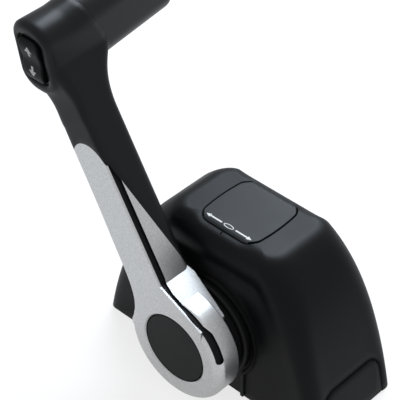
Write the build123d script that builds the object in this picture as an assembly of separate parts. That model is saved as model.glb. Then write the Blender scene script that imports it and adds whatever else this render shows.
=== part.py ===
from build123d import *
from math import acos, atan2, cos, degrees, pi, radians, sin, sqrt, tan
import os

# Boat throttle control lever: a top-mounted single-lever remote control.
# Millimetres. Origin: centre of the base on the console. +X starboard, +Y forward, +Z up.
# The lever stands on the port side and is stored a little ahead of neutral.

os.makedirs("parts", exist_ok=True)

# ---- driving dimensions: housing ----
HOUSING_HALF_WIDTH = 36.0
HOUSING_HALF_LENGTH = 90.5
HOUSING_HEIGHT = 112.0
HOUSING_WALL = 3.0
# Half-length and half-width as shares of the whole, and corner radius, at even steps of height.
HOUSING_SECTIONS = [
    (1.000, 1.000, 6.0),
    (0.935, 1.000, 8.0),
    (0.844, 0.994, 10.5),
    (0.714, 0.956, 14.0),
    (0.453, 0.819, 17.0),
]
CROWN_ROUND = 13.0
CAVITY_ROUND = 14.0
CAVITY_CORNER = 8.0
CAVITY_CEILING = 7.0        # crown to the inside of the roof, with room for the plate's recess
WALL_SLACK = 0.7            # extra wall where the inside's plain arc meets the lofted outside
COVER_LIFT = 0.5            # the cover's skirt stops just above the console
KEYHOLE_HALF_WIDTH = 28.0
LIP_R = 38.8
LIP_WIDTH = 2.2
LIP_PROUD = 1.3

# ---- driving dimensions: indicator plate ----
PLATE_HALF_WIDTH = 23.4
PLATE_HALF_LENGTH = 21.0
PLATE_BOW = 2.2             # how far the plate's forward and aft edges bulge
PLATE_CORNER = 9.0
PLATE_THICKNESS = 2.0
PLATE_BED = 0.4             # room for the adhesive under the plate
PLATE_GAP = 0.6

# ---- driving dimensions: end covers and the screws behind them ----
SCREW_COVER_HALF_WIDTH = 27.0
SCREW_COVER_TOP = 30.0
SCREW_COVER_CORNER = 11.0
COVER_SCREW_X = 10.0
COVER_SCREW_Z = 16.0
COVER_SCREW_R = 2.0
COVER_SCREW_HEAD_R = 3.8
COVER_SCREW_HEAD = 2.4
LUG_HALF_WIDTH = 5.0
LUG_DEPTH = 9.0
LUG_TOP = 22.0
TAB_THICKNESS = 2.5
TAB_Z = (9.0, 23.0)

# ---- driving dimensions: base and its mounting ----
GASKET_THICKNESS = 2.0
BASE_THICKNESS = 4.0
BASE_SIDE_GAP = 5.0         # outside of the housing to the edge of the base, at the sides
BASE_END_GAP = 11.5         # and at the ends
LUG_SETBACK = 3.0           # end of the base to the face of its screw lugs
BASE_CORNER = 12.0
MOUNT_SPACING_X = 44.0
MOUNT_SPACING_Y = 130.0
MOUNT_HOLE_R = 3.25
OUTLET_X = (14.8, 29.0)     # cable outlet through the base, port and starboard edges
OUTLET_HALF_LENGTH = 50.0
GASKET_RELIEF = 0.5         # the gasket's outlet is this much wider than the base's

# ---- driving dimensions: shaft line ----
SHAFT_Z = 44.5
SHAFT_R = 8.0
SHAFT_BORE_R = 3.3
SHAFT_PORT_X = -60.6
SHAFT_STARBOARD_X = 15.6
DRIVE_FLAT = 6.6            # half the distance across the shaft's two driving flats
RUNNING_CLEARANCE = 0.05
SEAT_CLEARANCE = 0.02
PART_GAP = 0.3
CUT = 1.0                   # how far a cutter passes a face it goes through
THROUGH = (-100.0, 100.0)   # a cutter along X that passes right through
BUSH_WALL = 3.0
BUSH_FLANGE = 3.0
STARBOARD_FLANGE = 2.5
NUT_FLATS = 24.0
NUT_PORT_X = -60.1
WASHER_R = 14.5
WASHER_THICKNESS = 1.2
CLIP_WIDTH = 1.2
CLIP_GROOVE_DEPTH = 1.0
END_PLAY = 0.2

# ---- driving dimensions: boss that carries the lever's shaft ----
BOSS_R = 35.0
BOSS_ROUND = 2.0
BOSS_PLATE_X = (-35.7, -31.5)
BOSS_NOSE_X = -41.2         # where the boss steps down to its nose
BOSS_NOSE_R = 31.0
NOSE_ROUND = 1.5
BOSS_FACE_X = -48.2
BOSS_LEG_R = 4.0
BOSS_LEG_CIRCLE = 24.0
BOSS_LEG_ANGLES = (30, 150, 270)
SEAL_R = (19.0, 23.0)
SEAL_DEPTH = 2.5
SHAFT_SEAL_GAP = 0.2

# ---- driving dimensions: lever ----
LEAN = 31.4                 # degrees ahead of upright at rest
LEVER_PORT_X = -67.5
HUB_R = 37.5
HUB_STARBOARD_X = -48.9
HUB_ROUND = 6.0
HUB_CHAMFER = 1.0
HUB_CLEARANCE = 0.8         # between the lever's foot and the boss's nose
ARM_STARBOARD_X = -41.5
ARM_AFT = -14.0
ARM_ROUND = 4.0
ARM_EDGE = 1.0              # the port aft edge, beside the groove, is nearly sharp
ARM_TOP = 151.0             # where the neck takes over
ARM_FORWARD_AT_TOP = 12.6
BLADE_THICKNESS = 6.0
BLADE_TIP = 139.7
WEDGE_TOP = 112.0           # where the casting's inner blade runs out, above the shaft
WEDGE_FOOT = 40.0           # where it reaches the starboard face
GROOVE_TOP = 128.5
GROOVE_DEPTH = 4.0
GROOVE_PORT = 1.4           # the groove's edges, from the lever's port face
GROOVE_WIDE = 6.0
GROOVE_NARROW = 3.9
INLAY_SETBACK = 1.4
CAP_HOLE_R = 24.0
CAP_RIM = 0.8
CAP_GAP = 0.6
HUB_WEB = 4.0
LEVER_SCREWS = (62.0, 84.0)
LEVER_SCREW_R = 2.5
LEVER_SCREW_HEAD_R = 4.5
LEVER_SCREW_HEAD = 4.0
LEVER_SCREW_KEY = 4.0
LEVER_SCREW_SINK = 0.5

# ---- driving dimensions: hub button ----
BUTTON_TRAVEL = 3.0
BUTTON_FACE = 0.6           # how far the button sits inside the hub's rim
BUTTON_THICKNESS = 3.0
BUTTON_SKIRT = 1.6
ROD_CLEARANCE = 0.05
BUTTON_SPRING_R = 18.0
BUTTON_WIRE_R = 0.6

# ---- driving dimensions: head and grip ----
GRIP_CENTRE = (-75.0, 101.5, 212.8)
GRIP_HALF_DEPTH = 15.0      # fore and aft
GRIP_HALF_HEIGHT = 24.0
GRIP_CORNER = 14.6
GRIP_RISE = 8.5             # degrees that the bar climbs toward starboard
GRIP_LENGTH = 104.0
GRIP_END_ROUND = 10.0
HEAD_LENGTH = 34.0
HEAD_HALF_HEIGHT = 26.0     # the head is a little taller than the grip at its port end
HEAD_CORNER = 13.0
HEAD_BLEND = 22.0
HEAD_EDGE = 3.5
CORE_WALL = 6.0
CORE_END = 10.0
CORE_START = 26.0
SEAM_AT = 42.0
SEAM_TILT = 18.0
# Height above the shaft, flare to port and to starboard, aft and forward faces,
# corner radius, and radius of the port aft corner.
NECK_SECTIONS = [
    (150.0, 0.0, 0.0, ARM_AFT, ARM_FORWARD_AT_TOP, ARM_ROUND, ARM_EDGE),
    (160.0, 0.2, 0.8, ARM_AFT, 12.6, 4.2, 2.5),
    (170.0, 1.2, 3.6, -14.2, 12.9, 5.0, 4.0),
    (180.0, 3.8, 9.5, -14.0, 13.4, 5.6, 5.6),
    (188.0, 5.0, 15.5, -13.4, 13.4, 6.0, 6.0),
    (195.0, 5.2, 19.0, -10.5, 11.0, 6.0, 6.0),
]

# ---- driving dimensions: trim switch ----
POCKET = (21.0, 36.0, 7.0)  # width, height and corner radius of the hole in the head's end
POCKET_DEPTH = 24.0
BEZEL_DEPTH = (1.6, 9.0)
BEZEL_WALL = 1.8
ROCKER_LENGTH = 31.0
ROCKER_WIDTH = 16.0
ROCKER_CREST = -2.2         # depths in the bar: below zero stands proud of the head
ROCKER_HOLLOW = -1.2
ROCKER_END = -0.6
ROCKER_FOOT = 4.2
ROCKER_KEEL = 7.6
ROCKER_EDGE = 1.0
PIVOT_DEPTH = 6.0
PIVOT_R = 1.2

# ---- driving dimensions: frame ----
FRAME_X = (-16.0, 12.0)     # centre planes of the two side plates
FRAME_THICKNESS = 3.0
FRAME_HALF_LENGTH = 44.0
FRAME_TOP = 84.0
FRAME_SHOULDER = 13.0
FRAME_WINDOW = (14.0, 24.0, 4.0)
FRAME_WINDOW_AT = (25.0, 32.0)
FRAME_ARCH_R = 12.0
FOOT_LENGTH = 20.0
FOOT_THICKNESS = 3.0
FOOT_REACH = 13.0
FRAME_SCREW_R = 2.0
FRAME_SCREW_HEAD_R = 3.4
FRAME_SCREW_HEAD = 2.2
FRAME_SCREW_STEP = 5.0
SPACER_R = 4.0
SPACER_BORE_R = 1.8
SPACER_Y = 38.0
SPACER_Z = 16.0
BRIDGE_Z = (72.5, 77.0)
BRIDGE_HALF_LENGTH = 5.0

# ---- driving dimensions: gears and output arms ----
GEAR_MODULE = 1.5
PRESSURE_ANGLE = 20.0
DRIVE_TEETH = 20
DRIVEN_TEETH = 30
GEAR_X = (-9.0, -1.0)
GEAR_BACKLASH = 0.24
GEAR_HUB_WALL = 3.0
GEAR_HUB = 4.0
GEAR_HOLES = 5
GEAR_HOLE_R = 4.0
GEAR_HOLE_CIRCLE = 13.5
GEAR_STUD_R = 5.0
ARM_X = (16.0, 20.0)
ARM_LENGTH = 38.0
ARM_ROOT_R = 9.5
ARM_TIP_R = 5.5
ARM_SLOT = (14.0, 5.0)
CABLE_PIN_R = 2.5
CABLE_PIN_LENGTH = 8.0
SPLIT_PIN_R = 0.6
SPLIT_PIN_END = 1.5

# ---- driving dimensions: cable clamps ----
CLAMP_SPACING = 30.0        # cable centres ahead of and behind the shaft
CLAMP_OUTER_X = 31.6
CLAMP_BORE_X = 22.4
CLAMP_BORE_R = 4.6
CLAMP_Z = (9.0, 19.0)
CLAMP_HALF_LENGTH = 9.0
CLAMP_ROUND = 3.0
CLAMP_SPLIT = 1.6
CLAMP_SCREW_X = 29.3
CLAMP_SCREW_Z = 14.0
CLAMP_SCREW_R = 1.5
CLAMP_SCREW_HEAD = 2.0

# ---- driving dimensions: detent, friction and neutral switch ----
WHEEL_X = (2.0, 7.0)
WHEEL_R = 15.0
NOTCH_DEPTH = 1.6
BALL_R = 3.0
BALL_CLEARANCE = 0.15
DETENT_TUBE_R = 5.5
DETENT_TUBE_FLOOR = 3.0
DETENT_WIRE_R = 0.45
SHOE_HALF_LENGTH = 4.0
SHOE_HEIGHT = 6.0
SHOE_WRAP = 2.0             # how far the shoe reaches down over the wheel's rim
SHOE_CLEARANCE = 0.1
FRICTION_SCREW_R = 2.5
FRICTION_HEAD_R = 4.5
FRICTION_HEAD = 4.0
FRICTION_SCREW_RISE = 9.0
DRIVER_SLOT = 1.2
CAM_X = (-24.0, -20.0)
CAM_R = 12.0
CAM_FLAT = 1.5
SWITCH_HALF_LENGTH = 10.0
SWITCH_HEIGHT = 10.0
PLUNGER_R = 1.8
PLUNGER_REACH = 3.0

# ---- sizes that follow ----
BASE_HALF_WIDTH = HOUSING_HALF_WIDTH - BASE_SIDE_GAP
BASE_HALF_LENGTH = HOUSING_HALF_LENGTH - BASE_END_GAP
BASE_Z = GASKET_THICKNESS
DECK_Z = GASKET_THICKNESS + BASE_THICKNESS
LUG_FACE_Y = BASE_HALF_LENGTH - LUG_SETBACK
PLATE_SEAT = PLATE_THICKNESS + PLATE_BED
BUSH_R = SHAFT_R + BUSH_WALL
WEB_PORT_X = HUB_STARBOARD_X - HUB_WEB
NUT_X = (NUT_PORT_X, WEB_PORT_X - WASHER_THICKNESS)
SPLIT_X = LEVER_PORT_X + BLADE_THICKNESS
FRAME_PORT_FACE = FRAME_X[0] - FRAME_THICKNESS / 2
FRAME_STARBOARD_FACE = FRAME_X[1] + FRAME_THICKNESS / 2
FRAME_INSIDE = (FRAME_X[0] + FRAME_THICKNESS / 2, FRAME_X[1] - FRAME_THICKNESS / 2)
CLIP_X = FRAME_STARBOARD_FACE + END_PLAY
WHEEL_CENTRE_X = (WHEEL_X[0] + WHEEL_X[1]) / 2
CLAMP_X = (FRAME_STARBOARD_FACE, CLAMP_OUTER_X)
PITCH_DRIVE = GEAR_MODULE * DRIVE_TEETH / 2
PITCH_DRIVEN = GEAR_MODULE * DRIVEN_TEETH / 2
GEAR_DISTANCE = PITCH_DRIVE + PITCH_DRIVEN
STUD_Y = CLAMP_SPACING
STUD_Z = SHAFT_Z + sqrt(GEAR_DISTANCE**2 - STUD_Y**2)
ARM_REST_TURN = LEAN * DRIVE_TEETH / DRIVEN_TEETH
BAR = Plane(origin=GRIP_CENTRE, x_dir=(0, 1, 0),
            z_dir=(cos(radians(GRIP_RISE)), 0, sin(radians(GRIP_RISE))))

HUB_AXIS = Axis((0, 0, SHAFT_Z), (1, 0, 0))


def disc(x0, x1, r, y=0.0, z=SHAFT_Z):
    """Cylinder along X from x0 to x1."""
    return Pos((x0 + x1) / 2, y, z) * Rot(0, 90, 0) * Cylinder(r, x1 - x0)


def post(z0, z1, r, x, y):
    """Cylinder along Z from z0 to z1."""
    return Pos(x, y, (z0 + z1) / 2) * Cylinder(r, z1 - z0)


def block(x0, x1, y0, y1, z0, z1):
    """Box between two corners."""
    return Pos((x0 + x1) / 2, (y0 + y1) / 2, (z0 + z1) / 2) * Box(x1 - x0, y1 - y0, z1 - z0)


def side_prism(face, x0, x1):
    """Extrude a face drawn in (Y, Z) from x0 to x1."""
    return extrude(Plane.YZ.offset(x0) * face, x1 - x0)


def leaned(shape):
    """Turn something built upright to the lever's stored lean."""
    return shape.rotate(HUB_AXIS, -LEAN)


def hexagon_along_x(x0, x1, flats, y, z):
    return extrude(Pos(x0, y, z) * Rot(0, 90, 0) * RegularPolygon(flats / sqrt(3), 6), x1 - x0)


# ---- housing ----

def housing_body(grow):
    """Loft of rounded rectangles from the skirt to the flat top, with a rolled top edge."""
    sections = []
    step = (HOUSING_HEIGHT + grow - COVER_LIFT) / (len(HOUSING_SECTIONS) - 1)
    for index, (length, width, corner) in enumerate(HOUSING_SECTIONS):
        half_length = HOUSING_HALF_LENGTH * length + grow
        half_width = HOUSING_HALF_WIDTH * width + grow
        outline = RectangleRounded(2 * half_width, 2 * half_length, corner)
        sections.append(Pos(0, 0, COVER_LIFT + step * index) * outline)
    body = loft(sections)
    return fillet(body.faces().sort_by(Axis.Z)[-1].edges(), CROWN_ROUND + grow)


def housing_half_length(z):
    """Distance from the middle to the outside of an end wall at height z, below the rolled edge."""
    place = (z - COVER_LIFT) / (HOUSING_HEIGHT - COVER_LIFT) * (len(HOUSING_SECTIONS) - 1)
    index = min(int(place), len(HOUSING_SECTIONS) - 2)
    low, high = HOUSING_SECTIONS[index][0], HOUSING_SECTIONS[index + 1][0]
    return HOUSING_HALF_LENGTH * (low + (place - index) * (high - low))


def cavity():
    """Inside of the housing: the end profile run across, with its side edges rounded."""
    ceiling = HOUSING_HEIGHT - CAVITY_CEILING
    wall = HOUSING_WALL + WALL_SLACK
    foot = housing_half_length(COVER_LIFT) - wall
    waist_z, shoulder_z = 0.45 * HOUSING_HEIGHT, 0.85 * HOUSING_HEIGHT
    waist = housing_half_length(waist_z) - wall
    shoulder = housing_half_length(shoulder_z) - wall - WALL_SLACK
    crown = shoulder - (ceiling - shoulder_z) * 1.3
    edges = [Line((-foot, -5), (foot, -5)), Line((foot, -5), (foot, COVER_LIFT))]
    edges.append(ThreePointArc((foot, COVER_LIFT), (waist, waist_z), (shoulder, shoulder_z)))
    edges.append(Line((shoulder, shoulder_z), (crown, ceiling)))
    edges.append(Line((crown, ceiling), (-crown, ceiling)))
    edges.append(Line((-crown, ceiling), (-shoulder, shoulder_z)))
    edges.append(ThreePointArc((-shoulder, shoulder_z), (-waist, waist_z), (-foot, COVER_LIFT)))
    edges.append(Line((-foot, COVER_LIFT), (-foot, -5)))
    profile = fillet(make_face(edges).vertices().sort_by(Axis.Y)[-4:], CAVITY_CORNER)
    half_width = HOUSING_HALF_WIDTH - wall
    body = side_prism(profile, -half_width, half_width)
    rims = body.edges().filter_by(lambda e: abs(abs(e.center().X) - half_width) < 0.01
                                  and e.center().Z > -4.9)
    return fillet(rims, CAVITY_ROUND)


def plate_outline(grow):
    """Rounded square with straight sides and bowed forward and aft edges."""
    w, h = PLATE_HALF_WIDTH + grow, PLATE_HALF_LENGTH + grow
    edges = [
        Line((-w, -h), (-w, h)),
        ThreePointArc((-w, h), (0, h + PLATE_BOW), (w, h)),
        Line((w, h), (w, -h)),
        ThreePointArc((w, -h), (0, -h - PLATE_BOW), (-w, -h)),
    ]
    face = make_face(edges)
    return fillet(face.vertices(), PLATE_CORNER + grow)


def plate_prism(grow):
    """The plate's outline run up through the roof."""
    return extrude(Pos(0, 0, HOUSING_HEIGHT / 2) * plate_outline(grow), HOUSING_HEIGHT)


def keyhole(grow):
    """Opening round the lever's boss: a circle that runs down into a straight slot."""
    slot_top = SHAFT_Z
    slot = Pos(0, (COVER_LIFT - 5 + slot_top) / 2) * Rectangle(
        2 * (KEYHOLE_HALF_WIDTH + grow), slot_top - COVER_LIFT + 5)
    return (Pos(0, SHAFT_Z) * Circle(LIP_R - LIP_WIDTH + grow)) + slot


def screw_cover_outline(grow):
    w, top = SCREW_COVER_HALF_WIDTH + grow, SCREW_COVER_TOP + grow
    face = Pos(0, top / 2 - 5) * Rectangle(2 * w, top + 10)
    corners = face.vertices().sort_by(Axis.Y)[-2:]
    return fillet(corners, SCREW_COVER_CORNER + grow)


def screw_cover_prism(grow, aft):
    """Screw cover outline run through one end wall."""
    prism = extrude(Plane.XZ * screw_cover_outline(grow), HOUSING_HALF_LENGTH + 20)
    return prism if aft else mirror(prism, Plane.XZ)


def screw_cover(aft):
    """Snap-in cover over one end's screws, flush with the wall around it."""
    piece = (OUTSIDE & screw_cover_prism(-PART_GAP, aft)) - INSIDE
    return piece - block(-50, 50, -120, 120, -20, COVER_LIFT + 0.6)


def cover_screw_places():
    return [(x, side) for side in (-1, 1) for x in (-COVER_SCREW_X, COVER_SCREW_X)]


def main_cover():
    lip = side_prism(keyhole(LIP_WIDTH), -HOUSING_HALF_WIDTH - LIP_PROUD, -HOUSING_HALF_WIDTH + 1)
    lip -= block(-60, 0, -60, 60, -20, COVER_LIFT)
    cover = OUTSIDE - INSIDE + lip
    cover -= side_prism(keyhole(0.0), -HOUSING_HALF_WIDTH - 10, -HOUSING_HALF_WIDTH + 8)
    cover -= plate_prism(PLATE_GAP) - housing_body(-PLATE_SEAT)
    tab_half_width = HOUSING_HALF_WIDTH - HOUSING_WALL
    for side, aft in ((-1, True), (1, False)):
        cover -= screw_cover_prism(0.0, aft)
        near, far = sorted((side * LUG_FACE_Y, side * (LUG_FACE_Y + TAB_THICKNESS)))
        cover += block(-tab_half_width, tab_half_width, near, far, TAB_Z[0], TAB_Z[1])
    for x, side in cover_screw_places():
        cover -= Pos(x, side * LUG_FACE_Y, COVER_SCREW_Z) * Rot(90, 0, 0) * Cylinder(
            COVER_SCREW_R + 0.2, 4 * TAB_THICKNESS)
    return cover


def top_plate():
    """Indicator plate, formed to the crown and let into its recess."""
    return (housing_body(PART_GAP) & plate_prism(0.0)) - housing_body(PART_GAP - PLATE_THICKNESS)


def cover_screws():
    """Pan-head screws that hold the cover's end tabs to the base lugs."""
    group = []
    for x, side in cover_screw_places():
        screw = Cylinder(COVER_SCREW_R, LUG_DEPTH + TAB_THICKNESS - 1)
        screw = Pos(0, 0, -(LUG_DEPTH + TAB_THICKNESS - 1) / 2) * screw
        head = Pos(0, 0, COVER_SCREW_HEAD / 2) * Cylinder(COVER_SCREW_HEAD_R, COVER_SCREW_HEAD)
        head = fillet(head.edges().sort_by(Axis.Z)[-1], 1.0)
        head -= Pos(0, 0, COVER_SCREW_HEAD) * Box(1.0, 10, 2)
        seat = side * (LUG_FACE_Y + TAB_THICKNESS)
        group.append(Pos(x, seat, COVER_SCREW_Z) * Rot(-90 * side, 0, 0) * (screw + head))
    return Compound(group)


OUTSIDE = housing_body(0.0)
INSIDE = cavity()


# ---- base ----


def base_plan(z0, z1):
    outline = RectangleRounded(2 * BASE_HALF_WIDTH, 2 * BASE_HALF_LENGTH, BASE_CORNER)
    return extrude(Pos(0, 0, z0) * outline, z1 - z0)


def base_cuts(grow):
    """Cable outlet and mounting holes, through gasket and base plate alike."""
    x0, x1 = OUTLET_X[0] - grow, OUTLET_X[1] + grow
    half_length = OUTLET_HALF_LENGTH + grow
    cuts = block(x0, x1, -half_length, half_length, -CUT, DECK_Z + CUT)
    for x in (-MOUNT_SPACING_X / 2, MOUNT_SPACING_X / 2):
        for y in (-MOUNT_SPACING_Y / 2, MOUNT_SPACING_Y / 2):
            cuts += post(-CUT, DECK_Z + CUT, MOUNT_HOLE_R, x, y)
    return cuts


def base_gasket():
    return base_plan(0, GASKET_THICKNESS) - base_cuts(GASKET_RELIEF)


def base_plate():
    plate = base_plan(BASE_Z, DECK_Z)
    for x, side in cover_screw_places():
        lug = block(x - LUG_HALF_WIDTH, x + LUG_HALF_WIDTH,
                    LUG_FACE_Y - LUG_DEPTH, LUG_FACE_Y, DECK_Z - CUT, LUG_TOP)
        if side < 0:
            lug = mirror(lug, Plane.XZ)
        plate += lug
        plate -= Pos(x, side * LUG_FACE_Y, COVER_SCREW_Z) * Rot(90, 0, 0) * Cylinder(COVER_SCREW_R, 30)
    for x, y in frame_screw_places():
        plate -= post(BASE_Z - CUT, DECK_Z + CUT, FRAME_SCREW_R, x, y)
    return plate - base_cuts(0.0)


# ---- boss that carries the lever's shaft ----

def boss_leg_places():
    """Three legs round the shaft that reach the port frame plate."""
    reach = BOSS_LEG_CIRCLE
    return [(reach * cos(radians(a)), SHAFT_Z + reach * sin(radians(a))) for a in BOSS_LEG_ANGLES]


def port_boss():
    """Keyhole plate with a drum and a smaller nose, which the lever's hub turns against."""
    boss = side_prism(keyhole(-PART_GAP), *BOSS_PLATE_X)
    boss -= block(*THROUGH, -BOSS_R, BOSS_R, -SHAFT_Z, COVER_LIFT)
    drum = disc(BOSS_NOSE_X, BOSS_PLATE_X[0], BOSS_R)
    boss += fillet(drum.edges().sort_by(Axis.X)[0], BOSS_ROUND)
    nose = disc(BOSS_FACE_X, BOSS_NOSE_X, BOSS_NOSE_R)
    boss += fillet(nose.edges().sort_by(Axis.X)[0], NOSE_ROUND)
    for y, z in boss_leg_places():
        boss += disc(BOSS_PLATE_X[1] - CUT, FRAME_PORT_FACE, BOSS_LEG_R, y, z)
    boss -= disc(*THROUGH, BUSH_R + SEAT_CLEARANCE)
    groove = disc(BOSS_FACE_X - CUT, BOSS_FACE_X + SEAL_DEPTH, SEAL_R[1] + SEAT_CLEARANCE)
    return boss - (groove - disc(*THROUGH, SEAL_R[0] - SEAT_CLEARANCE))


def hub_seal():
    """Felt ring between the boss and the turning hub."""
    face = HUB_STARBOARD_X + SHAFT_SEAL_GAP
    return disc(face, BOSS_FACE_X + SEAL_DEPTH, SEAL_R[1]) - disc(*THROUGH, SEAL_R[0])


def port_bush():
    end = BOSS_PLATE_X[1] + BUSH_FLANGE
    flange = disc(BOSS_PLATE_X[1], end, BUSH_R + BUSH_FLANGE)
    return disc(BOSS_FACE_X, end, BUSH_R) + flange - disc(*THROUGH, SHAFT_R + RUNNING_CLEARANCE)


# ---- frame ----

def frame_outline():
    """Side plate: wide foot, waist cut-outs, rounded shoulders round the gear studs."""
    half = FRAME_HALF_LENGTH
    body = Pos(0, (DECK_Z + FRAME_TOP) / 2) * Rectangle(2 * half, FRAME_TOP - DECK_Z)
    body = fillet(body.vertices().sort_by(Axis.Y)[-2:], FRAME_SHOULDER)
    for side in (-1, 1):
        body -= Pos(side * FRAME_WINDOW_AT[0], FRAME_WINDOW_AT[1]) * RectangleRounded(*FRAME_WINDOW)
    return body - Pos(0, DECK_Z) * Circle(FRAME_ARCH_R)


def frame_plate(centre_x):
    """Side plate with two feet bent to port."""
    x0, x1 = centre_x - FRAME_THICKNESS / 2, centre_x + FRAME_THICKNESS / 2
    plate = side_prism(frame_outline(), x0, x1)
    for side in (-1, 1):
        near, far = sorted((side * (FRAME_HALF_LENGTH - FOOT_LENGTH), side * FRAME_HALF_LENGTH))
        plate += block(x0 - FOOT_REACH, x0 + CUT, near, far, DECK_Z, DECK_Z + FOOT_THICKNESS)
    for y in (-STUD_Y, STUD_Y):
        plate -= disc(x0 - CUT, x1 + CUT, GEAR_STUD_R + RUNNING_CLEARANCE, y, STUD_Z)
    for x, y in frame_screw_places():
        plate -= post(0, DECK_Z + 2 * FOOT_THICKNESS, FRAME_SCREW_R + 2 * RUNNING_CLEARANCE, x, y)
    return plate


def frame_screw_places():
    """Two screws through each foot of both side plates."""
    middle = FRAME_HALF_LENGTH - FOOT_LENGTH / 2
    xs = [x - FRAME_THICKNESS / 2 - FOOT_REACH / 2 for x in FRAME_X]
    ys = [side * (middle + step) for side in (-1, 1) for step in (-FRAME_SCREW_STEP, FRAME_SCREW_STEP)]
    return [(x, y) for x in xs for y in ys]


def port_frame():
    return frame_plate(FRAME_X[0]) - disc(*THROUGH, SHAFT_R + BUSH_WALL - CUT)


def starboard_frame():
    return frame_plate(FRAME_X[1]) - disc(*THROUGH, BUSH_R + SEAT_CLEARANCE)


def starboard_bush():
    flange = disc(FRAME_INSIDE[1] - STARBOARD_FLANGE, FRAME_INSIDE[1], BUSH_R + STARBOARD_FLANGE)
    bush = disc(FRAME_INSIDE[1] - STARBOARD_FLANGE, FRAME_STARBOARD_FACE, BUSH_R) + flange
    return bush - disc(*THROUGH, SHAFT_R + RUNNING_CLEARANCE)


def frame_spacers():
    """Tubes that hold the two side plates apart near the base."""
    tubes = []
    for y in (-SPACER_Y, SPACER_Y):
        tubes.append(disc(*FRAME_INSIDE, SPACER_R, y, SPACER_Z) - disc(*THROUGH, SPACER_BORE_R, y, SPACER_Z))
    return Compound(tubes)


def friction_bridge():
    """Bar between the side plates, tapped for the friction screw."""
    bar = block(*FRAME_INSIDE, -BRIDGE_HALF_LENGTH, BRIDGE_HALF_LENGTH, *BRIDGE_Z)
    r = FRICTION_SCREW_R + SEAT_CLEARANCE
    return bar - post(BRIDGE_Z[0] - CUT, BRIDGE_Z[1] + CUT, r, WHEEL_CENTRE_X, 0)


def frame_screws():
    screws = []
    for x, y in frame_screw_places():
        seat = DECK_Z + FOOT_THICKNESS
        head = post(seat, seat + FRAME_SCREW_HEAD, FRAME_SCREW_HEAD_R, x, y)
        head = fillet(head.edges().sort_by(Axis.Z)[-1], FRAME_SCREW_HEAD / 3)
        screws.append(head + post(BASE_Z + PART_GAP, seat, FRAME_SCREW_R, x, y))
    return Compound(screws)


# ---- shaft line ----

def double_flat(x0, x1, r, flat):
    return leaned(disc(x0, x1, r) & block(x0, x1, -flat, flat, SHAFT_Z - r, SHAFT_Z + r))


def main_shaft():
    """Hollow shaft with two driving flats at the lever end and a switch cam."""
    shaft = disc(HUB_STARBOARD_X, SHAFT_STARBOARD_X, SHAFT_R)
    shaft += double_flat(SHAFT_PORT_X, HUB_STARBOARD_X, SHAFT_R, DRIVE_FLAT)
    cam = disc(*CAM_X, CAM_R)
    flat_z = SHAFT_Z + CAM_R - CAM_FLAT
    cam -= leaned(block(*CAM_X, -CAM_R, CAM_R, flat_z, flat_z + CAM_R))
    clip_groove = disc(CLIP_X, CLIP_X + CLIP_WIDTH, SHAFT_R + CUT)
    clip_groove -= disc(*THROUGH, SHAFT_R - CLIP_GROOVE_DEPTH)
    return shaft + cam - clip_groove - disc(*THROUGH, SHAFT_BORE_R)


def shaft_clip():
    """Circlip that keeps the shaft from drawing out to port."""
    ring = disc(CLIP_X, CLIP_X + CLIP_WIDTH, SHAFT_R + 2 * CLIP_GROOVE_DEPTH)
    ring -= disc(*THROUGH, SHAFT_R - CLIP_GROOVE_DEPTH + SEAT_CLEARANCE)
    return ring - block(*THROUGH, -2, 2, SHAFT_Z, SHAFT_Z + 2 * SHAFT_R)


def shaft_nut():
    nut = hexagon_along_x(NUT_X[0], NUT_X[1], NUT_FLATS, 0, SHAFT_Z)
    return leaned(nut) - disc(*THROUGH, SHAFT_R + SEAT_CLEARANCE)


def shaft_washer():
    return disc(NUT_X[1], WEB_PORT_X, WASHER_R) - disc(*THROUGH, SHAFT_R + SEAT_CLEARANCE)


def gear_outline(teeth, backlash):
    """Spur gear with involute flanks, drawn as short chords, tooth gap centred on +Y."""
    pitch_r = GEAR_MODULE * teeth / 2
    base_r = pitch_r * cos(radians(PRESSURE_ANGLE))
    tip_r, root_r = pitch_r + 0.95 * GEAR_MODULE, pitch_r - 1.25 * GEAR_MODULE

    def spread(r):
        slope = acos(min(1.0, base_r / r))
        return tan(slope) - slope

    half_pitch = pi / (2 * teeth) - backlash / (2 * pitch_r) + spread(pitch_r)
    radii = [max(base_r, root_r), (pitch_r + max(base_r, root_r)) / 2, pitch_r, tip_r]
    points = []
    for tooth in range(teeth):
        centre = 2 * pi * (tooth + 0.5) / teeth
        flank = [(r, half_pitch - spread(r)) for r in radii]
        flank.insert(0, (root_r, flank[0][1]))
        for r, half in flank:
            points.append((r * cos(centre - half), r * sin(centre - half)))
        for r, half in reversed(flank):
            points.append((r * cos(centre + half), r * sin(centre + half)))
    return make_face(Polyline(*points, close=True))


def gear(teeth, y, z, turn, bore_r):
    """Gear between the frame plates; turn is in degrees about +X."""
    outline = Rot(0, 0, turn) * gear_outline(teeth, GEAR_BACKLASH)
    outline = Pos(y, z) * outline
    return side_prism(outline, *GEAR_X) - disc(*THROUGH, bore_r + SEAT_CLEARANCE, y, z)


def drive_gear():
    """A tooth gap of this gear and a tooth of each driven gear meet on the line of centres."""
    toward_shift = degrees(atan2(STUD_Z - SHAFT_Z, STUD_Y))
    wheel = gear(DRIVE_TEETH, 0, SHAFT_Z, toward_shift, SHAFT_R)
    collar = disc(GEAR_X[1], WHEEL_X[0], SHAFT_R + GEAR_HUB_WALL) - disc(*THROUGH, SHAFT_R + SEAT_CLEARANCE)
    return wheel + collar


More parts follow.
